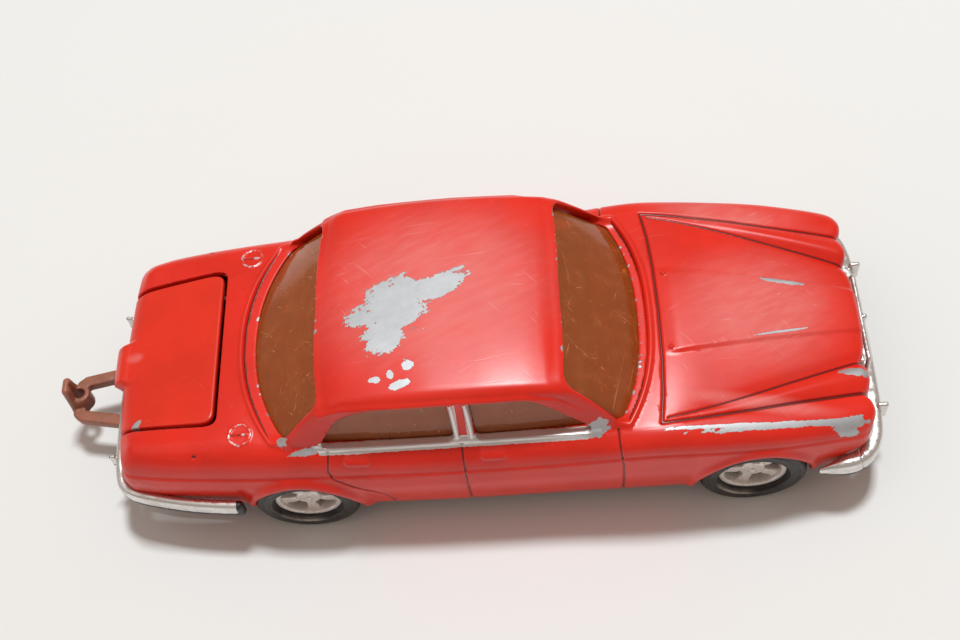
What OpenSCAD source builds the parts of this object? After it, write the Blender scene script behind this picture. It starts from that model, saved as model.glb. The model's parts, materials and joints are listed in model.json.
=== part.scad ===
// Die-cast toy saloon car with an opening boot lid, two live axles and a tow hook.
// Millimetres. +X is the nose, +Y the car's left side, +Z up, z = 0 the floor.
// Lengths along the car are measured from the rear axle and moved by rear_axle_x into the part's frame.

/* [Layout] */
// Place of the rear axle along the car, from the middle of the overall length
rear_axle_x = -15.5; // [-18:0.1:-12]
// Distance between the axles
wheelbase = 43; // [42:0.1:44]
// Casting wall
wall = 0.9; // [0.8:0.05:1]

/* [Body] */
// Half the width at the widest point of the doors
body_half_width = 14.5; // [14.3:0.1:14.8]
// Height of the roof's crown
roof_z = 21; // [20.6:0.1:21.4]
// Height of the window sills
belt_z = 13.6; // [13.4:0.1:13.8]
// Height of the bottom edge of the sills
sill_z = 3.3; // [3.1:0.1:3.6]
// Radius of the rear wheel arches
rear_arch_r = 5.3; // [5.2:0.1:5.5]
// Radius of the front wheel arches
front_arch_r = 5.6; // [5.4:0.1:5.8]

/* [Boot lid] */
// Place of the lid's front edge behind the rear axle
lid_front = 7.2; // [7:0.1:7.5]
// Half the width of the lid at its front edge
lid_half_front = 8.6; // [8.2:0.1:8.8]
// Half the width of the lid at its rear edge
lid_half_rear = 8.05; // [7.8:0.1:8.2]
// Gap all round the lid
lid_gap = 0.4; // [0.36:0.02:0.44]
// Hinge axis ahead of the lid's front edge
hinge_ahead = 2.4; // [2.3:0.05:2.5]
// Height of the hinge axis
hinge_z = 12.3; // [12.2:0.05:12.4]
// Radius of the hinge pin
hinge_pin_r = 0.4; // [0.35:0.05:0.45]

/* [Wheels] */
// Radius of the tyre's tread
tyre_r = 5.14; // [5:0.02:5.3]
// Outer face of the tyre from the middle of the car
tyre_face = 13.58; // [13.5:0.02:13.65]
// Width of the tyre
tyre_w = 3.3; // [3:0.1:3.4]
// Radius of the wheel's rim
rim_r = 3.28; // [3.2:0.02:3.4]
// Radius of the wire axles
axle_r = 0.6; // [0.5:0.05:0.65]
// Radial clearance of every turning pin
running_gap = 0.06; // [0.03:0.01:0.09]
// Number of spokes on each wheel
spokes = 5; // [5:1:6]

/* [Bumpers and hook] */
// Bottom of both bumpers
bumper_z = 5.6; // [5.5:0.1:5.8]
// Height of both bumpers
bumper_h = 1.8; // [1.5:0.1:2]
// Radius of the tow eye's bore
eye_r = 0.55; // [0.5:0.05:0.6]

/* [Hidden] */
$fn = 48;
eps = 0.05;
far = 40;
deck_edge = 2.6;
flank_z = 9.6;
tail_u = -18.3;
nose_u = 54.2;
hinge_u = -lid_front + hinge_ahead;
lid_plate = 0.8;
lid_lip = 0.35;
lid_bottom = 9;
arm_y = 5.2;
arm_w = 1.2;
ear_y = 6.7;
ear_w = 0.9;
hinge_pin_half = ear_y + ear_w;
hub_face = 13.04;
post_u = 35.8;
post_r = 1.6;
rivet_r = 1.1;
carrier_y = 8.2;
carrier_w = 2;
plate_z = 2.7;
plate_h = 0.9;
eye_u = -24.1;
hook_z = 4.35;
hook_h = 1.15;

// Body stations: [place, half width, sill z, wing crown z, middle z]
stations = [
    [tail_u, 11.4, 5, 11.3, 11.6],
    [-17.2, 12.6, 4.6, 12.5, 12.3],
    [-14, 13.4, 4.1, 13.1, 12.9],
    [-10, 13.9, 3.8, 13.6, 13.6],
    [-6, 14.2, 3.5, 13.9, 14.1],
    [0, 14.4, sill_z, 13.9, 14.2],
    [8, body_half_width, sill_z, 13.7, 14],
    [22, body_half_width, sill_z, 13.7, 14],
    [30, body_half_width, sill_z, 13.9, 14.4],
    [35, 14.45, sill_z, 14, 14.8],
    [40, 14.3, 3.5, 13.6, 14.4],
    [45, 14.1, 3.7, 13, 13.8],
    [49, 13.7, 4, 12.4, 13.1],
    [52, 13, 4.4, 11.9, 12.5],
    [nose_u, 11.7, 4.8, 11.4, 12]
];

// One half of a body ring from the sill to the middle, t inside the outer surface
function half_ring(s, t) =
    let (w = s[1] - t, crown = s[3] - t, middle = s[4] - t, low = t > 0 ? 0 : s[2], e = w - deck_edge)
    [[w - 1.7, low], [w - 0.7, s[2] + 1.4], [w - 0.2, 7], [w, flank_z], [w - 0.25, crown - 2],
        [w - 1.1, crown - 0.6], [e, crown], [0.7 * e, crown + 0.5 * (middle - crown)],
        [0.35 * e, crown + 0.87 * (middle - crown)], [0, middle]];
function ring(u, half) = concat(
    [for (p = half) [u, p[0], p[1]]],
    [for (i = [len(half) - 2:-1:0]) [u, -half[i][0], half[i][1]]]);

// A closed solid through rings that all have the same number of points
module loft(rings) {
    n = len(rings[0]);
    m = len(rings);
    polyhedron(
        points = [for (r = rings) each r],
        faces = concat(
            [[for (j = [0:n - 1]) j]],
            [for (i = [0:m - 2]) for (j = [0:n - 1]) let (k = (j + 1) % n)
                each [[i * n + j, (i + 1) * n + j, (i + 1) * n + k], [i * n + j, (i + 1) * n + k, i * n + k]]],
            [[for (j = [n - 1:-1:0]) (m - 1) * n + j]]));
}

// Outlines of the greenhouse: half widths and ends, t inside the outer surface
function cabin_outline(front, corner, half_front, half_rear, back_corner, back, t) =
    let (side = [[front - t, 0], [front - 0.25 * (front - corner) - t, 0.62 * half_front],
        [corner - t, half_front - t], [0.5 * (corner + back_corner), half_front + 0.5 - t],
        [back_corner + t, half_rear - t], [back + 0.25 * (back_corner - back) + t, 0.62 * half_rear],
        [back + t, 0]])
    concat(side, [for (i = [len(side) - 2:-1:1]) [side[i][0], -side[i][1]]]);
module slab(z, points) translate([0, 0, z]) linear_extrude(eps) polygon(points);
module cabin(t) hull() {
    slab(13 - t, cabin_outline(34.3, 30.8, 11.5, 11, -1.6, -4.9, t));
    slab(18.9, cabin_outline(27, 26.1, 10.2, 10.3, 3.2, 2.2, t));
    slab(20.1 - 0.5 * t, cabin_outline(25.3, 24.4, 8.9, 8.8, 5, 4.2, t));
    slab(roof_z - eps - t, cabin_outline(19, 18, 5, 5, 10, 9, 0));
}

// Plan of the boot opening, grown by g on its sides and front
module boot_plan(g) polygon([
    [-lid_front + g, lid_half_front - 1], [-lid_front + g - 0.4, lid_half_front + g - 0.4],
    [-lid_front + g - 1, lid_half_front + g], [-22, lid_half_rear + g - 0.2],
    [-22, -lid_half_rear - g + 0.2], [-lid_front + g - 1, -lid_half_front - g],
    [-lid_front + g - 0.4, -lid_half_front - g + 0.4], [-lid_front + g, -lid_half_front + 1]]);

module axle_line(u, y, length) translate([u, y, tyre_r]) rotate([-90, 0, 0]) children();
module across(u, z, r, half) translate([u, half, z]) rotate([90, 0, 0]) cylinder(r = r, h = 2 * half);

// Window openings, cut through the casting only
module windscreen_cut() translate([17, 0, 0]) rotate([90, 0, 90]) linear_extrude(20)
    polygon([[-9.9, 14.3], [-8.9, 18.7], [-5, 19.5], [5, 19.5], [8.9, 18.7], [9.9, 14.3], [5, 13.9], [-5, 13.9]]);
module rear_window_cut() translate([-12, 0, 0]) rotate([90, 0, 90]) linear_extrude(24)
    polygon([[-9.6, 14.3], [-8.9, 17.6], [-5, 18.6], [5, 18.6], [8.9, 17.6], [9.6, 14.3], [5, 13.9], [-5, 13.9]]);
module side_windows_cut() translate([0, far, 0]) rotate([90, 0, 0]) linear_extrude(2 * far) {
    polygon([[3.6, 14.3], [5.8, 17.2], [8.6, 18.5], [14.9, 18.6], [15.3, 14.3]]);
    polygon([[16.9, 14.3], [16.6, 18.6], [23.4, 18.3], [25.4, 17], [28, 14.3]]);
}

// Cast lamp bulge on the nose and drip rail over the doors
module lamp_bulge(y, z, r) hull() {
    translate([nose_u - 0.5, y, z]) rotate([0, 90, 0]) cylinder(r = r, h = 0.5, $fn = 24);
    translate([nose_u - 8, 1.02 * y, z + 1]) sphere(r = 0.4 * r, $fn = 16);
}
module drip_rail(side) hull() {
    translate([5.4, side * 10.35, 18.7]) cube([20, 0.5, 0.35]);
    translate([5.4, side * 10.2, 18.7]) cube([20, 0.3, 0.6]);
}
module filler_cap(side) hull() {
    translate([-4.8, side * 9.9, 13.6]) cylinder(r = 1.15, h = 0.35, $fn = 24);
    translate([-4.8, side * 9.9, 13.6]) cylinder(r = 1, h = 0.5, $fn = 24);
}
module door_handle(u, side) hull() {
    translate([u, side * 14.1 - 0.3, 11.7]) cube([2.6, 0.6, 0.5]);
    translate([u + 0.2, side * 14.2 - 0.3, 11.8]) cube([2.2, 0.6, 0.3]);
}

module body_shell() color("red") translate([rear_axle_x, 0, 0]) {
    difference() {
        union() {
            loft([for (s = stations) ring(s[0], half_ring(s, 0))]);
            cabin(0);
            for (side = [-1, 1]) {
                lamp_bulge(side * 7.2, 10, 1.6);
                lamp_bulge(side * 10.1, 9.7, 1.5);
                drip_rail(side - (side > 0 ? 0.02 : -0.02));
                filler_cap(side);
                door_handle(4.5, side);
                door_handle(17.5, side);
            }
        }
        difference() {
            union() {
                intersection() {
                    loft([for (s = stations) ring(s[0], half_ring(s, wall))]);
                    translate([tail_u + wall, -far / 2, -1]) cube([nose_u - tail_u - 2 * wall, far, far]);
                }
                cabin(wall);
            }
            translate([post_u, 0, 0]) cylinder(r = post_r, h = far);
        }
        windscreen_cut();
        rear_window_cut();
        side_windows_cut();
        translate([0, 0, lid_bottom]) linear_extrude(far) boot_plan(lid_gap);
        across(0, 4.4, rear_arch_r, far);
        across(wheelbase, 4.7, front_arch_r, far);
        across(0, tyre_r, tyre_r + 0.45, 13.8);
        across(wheelbase, tyre_r, tyre_r + 0.45, 13.8);
        translate([nose_u - 1.3, -9.2, 0]) cube([5, 18.4, 10.9]);
        translate([tail_u - 2, -9, 0]) cube([6, 18, 5.6]);
        translate([post_u, 0, -1]) cylinder(r = far, h = 1 + plate_z + plate_h);
    }
    translate([post_u, 0, plate_z - 0.15]) cylinder(r = rivet_r, h = 3);
    translate([post_u, 0, plate_z - 0.35]) cylinder(r = post_r, h = 0.35);
}

// Side profile of the lid: a thin front lip, the skin and a turned-down tail panel
lid_profile = [
    [-lid_front, 13.95], [-12, 13.2], [-16, 12.4], [-17.4, 11.9], [-18.2, 11.2], [-18.6, 10.3], [-18.6, lid_bottom + 0.1],
    [-17.7, lid_bottom + 0.1], [-17.6, 10.6], [-17, 11.1], [-16, 12.4 - lid_plate], [-12, 13.2 - lid_plate],
    [-lid_front - 1, 13.82 - lid_plate], [-lid_front - 0.8, 13.83 - lid_lip], [-lid_front, 13.95 - lid_lip]
];

// Gooseneck arm: runs down and back from the hinge, then up to the underside of the lid
module hinge_arm(y) translate([hinge_u, y + arm_w / 2, hinge_z]) rotate([90, 0, 0]) difference() {
    union() {
        cylinder(r = 0.85, h = arm_w);
        linear_extrude(arm_w)
            polygon([[0.2, -0.35], [-0.3, 0.25], [-2.35, -1.6], [-3.15, -1], [-3.3, 1.05], [-3.9, 1.05], [-3.8, -1.4],
                [-2.5, -2.35]]);
    }
    translate([0, 0, -1]) cylinder(r = hinge_pin_r, h = arm_w + 2);
}
module boot_lid() color("orangered") translate([rear_axle_x, 0, 0]) {
    difference() {
        intersection() {
            translate([0, far / 2, 0]) rotate([90, 0, 0]) linear_extrude(far) polygon(lid_profile);
            translate([0, 0, lid_bottom - 1]) linear_extrude(far) boot_plan(0);
        }
        translate([-19.4, -3.6, lid_bottom + 0.5]) cube([1.1, 7.2, 0.9]);
    }
    hinge_arm(arm_y);
    hinge_arm(-arm_y);
}
module boot_hinge_pin() color("silver") translate([rear_axle_x, 0, 0])
    across(hinge_u, hinge_z, hinge_pin_r, hinge_pin_half);

module glazing() color("orange", 0.6) translate([rear_axle_x, 0, 0]) difference() {
    intersection() {
        cabin(wall + eps);
        translate([-3.9, -far / 2, 13.25]) cube([37.4, far, 6.6]);
    }
    cabin(wall + 0.75);
}

// Seats are side profiles drawn along the car and pushed across it
module seat(u, y, width, base, top) translate([u, y + width / 2, base]) rotate([90, 0, 0]) linear_extrude(width)
    polygon([[0, 0], [6.4, 0], [6.8, 2.2], [6.2, 2.9], [2.4, 2.5], [0.9, top - base], [-0.6, top - base - 0.2],
        [-0.4, 3]]);
module steering_wheel() translate([27.2, -5, 11.9]) rotate([0, -62, 0]) {
    rotate_extrude() translate([2.1, 0]) circle(r = 0.28, $fn = 16);
    for (a = [90, 210, 330]) rotate([0, 0, a]) translate([0, -0.25, -0.2]) cube([2.1, 0.5, 0.4]);
    translate([0, 0, -3]) cylinder(r = 0.4, h = 3.2);
}
module interior_tub() color("saddlebrown") translate([rear_axle_x, 0, 0]) difference() {
    union() {
        translate([7, -11, 4.4]) cube([25, 22, 0.8]);
        translate([-3.3, -9, 6.4]) cube([11.3, 18, 0.8]);
        translate([7, -9, 4.4]) cube([1, 18, 2.8]);
        translate([-17, -7.9, 6.4]) cube([14.5, 15.8, 0.6]);
        for (side = [-1, 1]) {
            translate([7, side * 10.7 - 0.3, 4.4]) cube([25, 0.6, 7.4]);
            translate([-3.3, side * 8.9 - 0.3, 6.4]) cube([10.6, 0.6, 5.6]);
            translate([7, side * 9.8 - 1.2, 4.4]) cube([0.8, 2.4, 7.4]);
            translate([-16.9, side * 7.65 - 0.25, 6.4]) cube([13.8, 0.5, 4.2]);
            translate([hinge_u - 0.9, side * (ear_y + ear_w / 2) - ear_w / 2, 10.2]) cube([2, ear_w, 2.8]);
        }
        translate([-16.9, -7.9, 6.4]) cube([0.5, 15.8, 2.5]);
        translate([-3.8, -9, 6.4]) cube([0.7, 18, 6.2]);
        translate([-3.6, -9, 12]) cube([5, 18, 0.6]);
        seat(1.2, 0, 17.4, 7, 12);
        seat(13.4, -5.2, 8.6, 5, 12.8);
        seat(13.4, 5.2, 8.6, 5, 12.8);
        translate([28.6, -10.4, 9.2]) cube([3.2, 20.8, 3.6]);
        translate([31.2, -10.4, 4.4]) cube([0.8, 20.8, 7.4]);
        steering_wheel();
    }
    across(hinge_u, hinge_z, hinge_pin_r + running_gap, far);
}

module base_plate() color("black") translate([rear_axle_x, 0, 0]) difference() {
    union() {
        translate([0, 0, plate_z]) linear_extrude(plate_h) difference() {
            polygon(concat(
                [for (i = [1:len(stations) - 2]) [stations[i][0], stations[i][1] - 2.75]],
                [for (i = [len(stations) - 2:-1:1]) [stations[i][0], 2.75 - stations[i][1]]]));
            for (u = [0, wheelbase]) for (side = [-1, 1])
                translate([u - 6.2, side * 12 - 2.4]) square([12.4, 4.8]);
        }
        for (u = [0, wheelbase]) for (side = [-1, 1])
            translate([u - 1.6, side * carrier_y - carrier_w / 2, plate_z]) cube([3.2, carrier_w, 3.5]);
        translate([10, -3.2, plate_z - 0.5]) cube([20, 6.4, 1]);
        translate([-16.4, -4, plate_z - 0.3]) cube([9, 8, 0.8]);
        translate([post_u, 0, plate_z]) cylinder(r = 2.6, h = plate_h);
    }
    for (u = [0, wheelbase]) across(u, tyre_r, axle_r + running_gap, far);
    translate([post_u, 0, 0]) cylinder(r = rivet_r, h = 6);
}

// A bumper bar seen from above: outer and inner path of one half, each ending on the middle line, mirrored
module bar_plan(outer, inner) polygon(concat(
    outer, [for (i = [len(outer) - 2:-1:0]) [outer[i][0], -outer[i][1]]],
    [for (p = inner) [p[0], -p[1]]], [for (i = [len(inner) - 2:-1:0]) inner[i]]));
module front_bumper() color("gainsboro") translate([rear_axle_x, 0, 0]) {
    translate([0, 0, bumper_z]) linear_extrude(bumper_h)
        bar_plan([[48.9, 13.9], [52.3, 13.7], [54.4, 12.6], [55.4, 10.6], [55.9, 6], [56, 0]],
            [[48.9, 13.75], [52.6, 13.2], [54, 12.1], [54.6, 10.6], [54.8, 6], [54.8, 0]]);
    difference() {
        translate([nose_u - 1.2, -9.1, 4.9]) cube([1.2, 18.2, 5.9]);
        for (z = [7.8:0.7:10]) for (side = [-1, 1])
            translate([nose_u - 0.4, side * 2.8 - 2.2, z]) cube([1, 4.4, 0.3]);
    }
    translate([nose_u - 0.3, -8.5, bumper_z + 0.15]) cube([1.3, 17, bumper_h - 0.4]);
    for (side = [-1, 1]) {
        translate([nose_u - 0.3, side * 7.1, 9.3]) rotate([0, 90, 0]) cylinder(r = 1.2, h = 0.7);
        translate([55.2, side * 8, 6.5]) rotate([0, 90, 0]) cylinder(r = 0.75, h = 1.1);
    }
}
module rear_bumper() color("gainsboro") translate([rear_axle_x, 0, 0]) {
    translate([0, 0, bumper_z]) linear_extrude(bumper_h)
        bar_plan([[-6.4, 14.25], [-13, 14.1], [-17, 13.5], [-18.7, 12.1], [-19.4, 8], [-19.6, 0]],
            [[-6.4, 14.1], [-13, 13.85], [-16.8, 13], [-18.3, 11.6], [-18.75, 8], [-18.8, 0]]);
    translate([-18.9, -8.9, bumper_z + 0.1]) cube([0.55, 17.8, bumper_h - 0.3]);
    for (side = [-1, 1]) translate([-19.9, side * 8, 6.6]) rotate([0, 90, 0]) cylinder(r = 0.7, h = 1);
}

module tow_hook() color("sienna") translate([rear_axle_x, 0, 0]) difference() {
    union() {
        translate([0, 0, hook_z]) linear_extrude(hook_h) difference() {
            polygon([[-14, 3.5], [-19.6, 3.4], [-24.2, 2.6], [-24.9, 1.9], [-24.9, -1.9], [-24.2, -2.6],
                [-19.6, -3.4], [-14, -3.5]]);
            polygon([[-16, 2.2], [-19.6, 2.2], [-23.7, 1.4], [-23.7, -1.4], [-19.6, -2.2], [-16, -2.2]]);
        }
        translate([eye_u, 0, hook_z]) cylinder(r = 1.1, h = 2.2);
        translate([-24.9, 0.9, hook_z + 0.3]) rotate([90, 0, 0]) linear_extrude(1.8)
            polygon([[-0.2, 0], [0.2, 0], [0.1, 4], [-0.35, 4.1], [-0.4, 3.8]]);
    }
    translate([eye_u, 0, 0]) cylinder(r = eye_r, h = 12);
}

module wire_axle(u) color("silver") translate([rear_axle_x, 0, 0]) across(u, tyre_r, axle_r, hub_face - 0.5);
module front_axle() wire_axle(wheelbase);
module rear_axle() wire_axle(0);

// Wheel parts are drawn about the axle, then stood upright on the given side
module on_axle(u, side) translate([rear_axle_x + u, 0, tyre_r]) rotate([side * -90, 0, 0]) children();
module tyre(u, side) color("dimgray") on_axle(u, side) rotate_extrude($fn = 96) polygon([
    [rim_r, tyre_face - tyre_w + 0.3], [rim_r + 0.5, tyre_face - tyre_w], [tyre_r - 0.6, tyre_face - tyre_w],
    [tyre_r, tyre_face - tyre_w + 0.5], [tyre_r, tyre_face - 0.6], [tyre_r - 0.25, tyre_face - 0.15],
    [tyre_r - 0.6, tyre_face], [rim_r + 0.4, tyre_face], [rim_r, tyre_face - 0.3]]);
module wheel(u, side) color("silver") on_axle(u, side) difference() {
    union() {
        difference() {
            translate([0, 0, hub_face - 2.5]) cylinder(r = rim_r, h = 2.5);
            translate([0, 0, hub_face - 1]) cylinder(r = rim_r - 0.4, h = 2);
        }
        for (i = [0:spokes - 1]) rotate([0, 0, i * 360 / spokes])
            translate([0.5, -0.45, hub_face - 1.2]) cube([rim_r - 0.7, 0.9, 0.9]);
        translate([0, 0, hub_face - 1.2]) cylinder(r = 1, h = 1.1);
    }
    translate([0, 0, 0]) cylinder(r = axle_r, h = hub_face - 0.5);
}
module tyre_front_left() tyre(wheelbase, 1);
module tyre_front_right() tyre(wheelbase, -1);
module tyre_rear_left() tyre(0, 1);
module tyre_rear_right() tyre(0, -1);
module wheel_front_left() wheel(wheelbase, 1);
module wheel_front_right() wheel(wheelbase, -1);
module wheel_rear_left() wheel(0, 1);
module wheel_rear_right() wheel(0, -1);

body_shell();
boot_lid();
boot_hinge_pin();
glazing();
interior_tub();
base_plate();
front_bumper();
rear_bumper();
tow_hook();
front_axle();
rear_axle();
tyre_front_left();
tyre_front_right();
tyre_rear_left();
tyre_rear_right();
wheel_front_left();
wheel_front_right();
wheel_rear_left();
wheel_rear_right();
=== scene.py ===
import json
import math

import bpy
import numpy as np
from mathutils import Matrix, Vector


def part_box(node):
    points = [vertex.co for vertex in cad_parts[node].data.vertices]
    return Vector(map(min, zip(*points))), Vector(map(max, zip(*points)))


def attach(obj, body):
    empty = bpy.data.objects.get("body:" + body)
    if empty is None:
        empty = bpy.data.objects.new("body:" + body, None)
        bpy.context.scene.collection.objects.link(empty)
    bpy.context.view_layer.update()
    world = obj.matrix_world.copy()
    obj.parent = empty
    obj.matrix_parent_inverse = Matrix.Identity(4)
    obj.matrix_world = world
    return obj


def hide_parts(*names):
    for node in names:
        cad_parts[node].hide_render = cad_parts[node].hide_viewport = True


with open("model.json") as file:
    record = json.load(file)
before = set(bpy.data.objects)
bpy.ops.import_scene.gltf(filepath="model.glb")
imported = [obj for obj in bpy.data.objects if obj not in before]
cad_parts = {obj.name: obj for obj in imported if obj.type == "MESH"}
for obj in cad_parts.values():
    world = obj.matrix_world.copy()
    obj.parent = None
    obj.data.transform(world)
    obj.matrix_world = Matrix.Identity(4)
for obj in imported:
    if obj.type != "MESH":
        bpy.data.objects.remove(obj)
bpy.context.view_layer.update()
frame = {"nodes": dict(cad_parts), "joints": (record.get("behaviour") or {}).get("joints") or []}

import openvdb
from mathutils import Matrix, Vector

# Lengths are millimetres until a mesh is made. x runs forward from the rear axle, y to the car's left, z up.
MM = 0.001
# Spacing of the sample points: FINE for the castings and glazing, FINER for the small mouldings
FINE = 0.1
FINER = 0.06


def centre(node):
    low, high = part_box(node)
    return (low + high) / 2


REAR = centre("rear_axle")
REAR_X = REAR.x / MM
WHEELBASE = (centre("front_axle").x - REAR.x) / MM
AXLE_Z = REAR.z / MM
TYRE_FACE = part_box("tyre_rear_left")[1].y / MM
HUB_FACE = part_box("wheel_rear_left")[1].y / MM
HINGE = next(j for j in frame["joints"] if j["name"] == "boot_hinge")
HINGE_X = (HINGE["pos_m"][0] - REAR.x) / MM
HINGE_Z = HINGE["pos_m"][2] / MM

# ---------------------------------------------------------------- camera and lights
# Where the camera stands, measured from the rear axle, and how it is turned
CAM_AT = Vector((26.585, -68.157, 126.168))
CAM_FORWARD = Vector((-0.06498, 0.52252, -0.85015))
CAM_UP = Vector((0.07141, 0.8522, 0.51832))
LENS = 51.28
SENSOR = 36


def from_axle(p):
    """A point in the scene's metres from one in millimetres measured from the rear axle."""
    return Vector((p[0] * MM + REAR.x, p[1] * MM, p[2] * MM))


def make_camera():
    data = bpy.data.cameras.new("camera")
    data.lens = LENS
    data.sensor_width = SENSOR
    data.clip_start = 0.005
    data.clip_end = 10
    camera = bpy.data.objects.new("camera", data)
    bpy.context.scene.collection.objects.link(camera)
    back = -CAM_FORWARD.normalized()
    right = CAM_UP.cross(back).normalized()
    turn = Matrix((right, back.cross(right), back)).transposed()
    camera.matrix_world = Matrix.Translation(from_axle(CAM_AT)) @ turn.to_4x4()
    bpy.context.scene.camera = camera


def area_light(name, at, size, power, colour):
    """A rectangular lamp that faces the origin, with its place and size in metres and its power in watts."""
    data = bpy.data.lights.new(name, "AREA")
    data.shape = "RECTANGLE"
    data.size, data.size_y = size
    data.energy = power
    data.color = colour
    lamp = bpy.data.objects.new(name, data)
    bpy.context.scene.collection.objects.link(lamp)
    lamp.location = at
    lamp.rotation_mode = "QUATERNION"
    lamp.rotation_quaternion = (-Vector(at)).to_track_quat("-Z", "Y")


# ---------------------------------------------------------------- solids as distance fields


class Space:
    """A box of sample points. With mirror, only the half with y >= 0 is worked out."""

    def __init__(self, low, high, step, mirror=True):
        self.step = step
        self.mirror = mirror
        self.low = [low[0], 0.0 if mirror else low[1], low[2]]
        count = [int(math.ceil((b - a) / step)) + 1 for a, b in zip(self.low, high)]
        axes = [(a + step * np.arange(n)).astype(np.float32) for a, n in zip(self.low, count)]
        self.x = axes[0][:, None, None]
        self.y = axes[1][None, :, None]
        self.z = axes[2][None, None, :]

    def whole(self, field):
        """The field over both halves, and the lowest corner of the box it fills."""
        field = np.broadcast_to(field, (self.x.size, self.y.size, self.z.size))
        if not self.mirror:
            return np.array(field), list(self.low)
        both = np.concatenate([field[:, :0:-1], field], axis=1)
        return both, [self.low[0], -self.step * (self.y.size - 1), self.low[2]]


def smooth_max(a, b, k):
    return np.maximum(a, b) + np.maximum(k - np.abs(a - b), 0) ** 2 * np.float32(0.25 / k)


def smooth_min(a, b, k):
    return np.minimum(a, b) - np.maximum(k - np.abs(a - b), 0) ** 2 * np.float32(0.25 / k)


def union(*solids):
    """What several solids fill together."""
    whole = solids[0]
    for solid in solids[1:]:
        whole = np.minimum(whole, solid)
    return whole


def common(*solids):
    """What several solids share."""
    shared = solids[0]
    for solid in solids[1:]:
        shared = np.maximum(shared, solid)
    return shared


def curve(at, points):
    """A smooth curve through a few points, with no overshoot between them."""
    xs, ys = (np.array(v, dtype=np.float64) for v in zip(*points))
    steps = np.diff(ys) / np.diff(xs)
    slopes = np.zeros(len(xs))
    same = steps[1:] * steps[:-1] > 0
    slopes[1:-1][same] = 2 * steps[1:][same] * steps[:-1][same] / (steps[1:][same] + steps[:-1][same])
    slopes[0], slopes[-1] = steps[0], steps[-1]
    at = np.asarray(at, dtype=np.float64)
    i = np.clip(np.searchsorted(xs, at) - 1, 0, len(xs) - 2)
    width = xs[i + 1] - xs[i]
    t = np.clip((at - xs[i]) / width, 0, 1)
    value = ((1 + 2 * t) * ys[i] + t * width * slopes[i]) * (1 - t) ** 2
    value += ((3 - 2 * t) * ys[i + 1] - (1 - t) * width * slopes[i + 1]) * t ** 2
    return value.astype(np.float32)


def blend_step(at, start, end):
    t = np.clip((at - start) / (end - start), 0, 1)
    return t * t * (3 - 2 * t)


def path_distance(a, b, points):
    """Distance from (a, b) to a path of straight runs."""
    best = None
    for (a0, b0), (a1, b1) in zip(points, points[1:]):
        da, db = a1 - a0, b1 - b0
        t = np.clip(((a - a0) * da + (b - b0) * db) / (da * da + db * db), 0, 1)
        d = np.hypot(a - a0 - t * da, b - b0 - t * db)
        best = d if best is None else np.minimum(best, d)
    return best.astype(np.float32)


def convex(a, b, points, k):
    """Signed distance to a convex outline given anticlockwise, its corners rounded by k."""
    best = None
    for (a0, b0), (a1, b1) in zip(points, points[1:] + points[:1]):
        length = math.hypot(a1 - a0, b1 - b0)
        d = ((b0 - b1) * (a - a0) + (a1 - a0) * (b - b0)) / -length
        best = d if best is None else smooth_max(best, d, k)
    return best.astype(np.float32)


def box(s, low, high, r=0.2):
    """A box with edges rounded by r."""
    d = [np.abs(v - (a + b) / 2) - ((b - a) / 2 - r) for v, a, b in zip((s.x, s.y, s.z), low, high)]
    outside = np.sqrt(sum(np.maximum(v, 0) ** 2 for v in d))
    return outside + np.minimum(np.maximum(np.maximum(d[0], d[1]), d[2]), 0) - r


def rod(s, a, b, r):
    """A round-ended rod from a to b."""
    a, b = np.array(a, dtype=np.float32), np.array(b, dtype=np.float32)
    v = b - a
    p = [s.x - a[0], s.y - a[1], s.z - a[2]]
    t = np.clip((p[0] * v[0] + p[1] * v[1] + p[2] * v[2]) / float(v @ v), 0, 1)
    return np.sqrt(sum((p[i] - t * v[i]) ** 2 for i in range(3))) - r


def sample(field, low, step, points):
    """The field at scattered points, by linear interpolation."""
    q = (points - np.array(low)) / step
    top = np.array(field.shape) - 1.001
    q = np.clip(q, 0, top)
    i = q.astype(np.int64)
    f = q - i
    value = np.zeros(len(points))
    for dx in (0, 1):
        for dy in (0, 1):
            for dz in (0, 1):
                w = np.abs(1 - dx - f[:, 0]) * np.abs(1 - dy - f[:, 1]) * np.abs(1 - dz - f[:, 2])
                value += w * field[i[:, 0] + dx, i[:, 1] + dy, i[:, 2] + dz]
    return value


def surface(space, field, flat=0.012):
    """The surface where the field is zero: points, faces, normals, and marks for its edges and hollows."""
    step = space.step
    band = 3 * step
    field, low = space.whole(np.clip(field, -band, band))
    grid = openvdb.FloatGrid(band)
    grid.copyFromArray(field.astype(np.float32), tolerance=0.0)
    points, tris, quads = grid.convertToPolygons(isovalue=0.0, adaptivity=flat)
    points = points.astype(np.float64) * step + np.array(low)
    slope = np.zeros_like(points)
    around = np.zeros(len(points))
    middle = sample(field, low, step, points)
    for axis in range(3):
        reach = np.zeros(3)
        reach[axis] = step
        slope[:, axis] = sample(field, low, step, points + reach) - sample(field, low, step, points - reach)
        reach[axis] = 2.0 * step
        around += sample(field, low, step, points + reach) + sample(field, low, step, points - reach)
    slope /= np.maximum(np.linalg.norm(slope, axis=1), 1e-9)[:, None]
    bend = (around - 6 * middle) / (2.0 * step)
    # The second mark finds hollows: the paint darkens them as painted shade and the tyre shows dust in them
    marks = {"wear": np.clip(bend - 0.2, 0, 1.2), "hollow_shade_and_dust": np.clip(-bend - 0.15, 0, 2)}
    return {"points": points, "faces": tris.tolist() + quads.tolist(), "normals": slope, "marks": marks}


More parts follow.
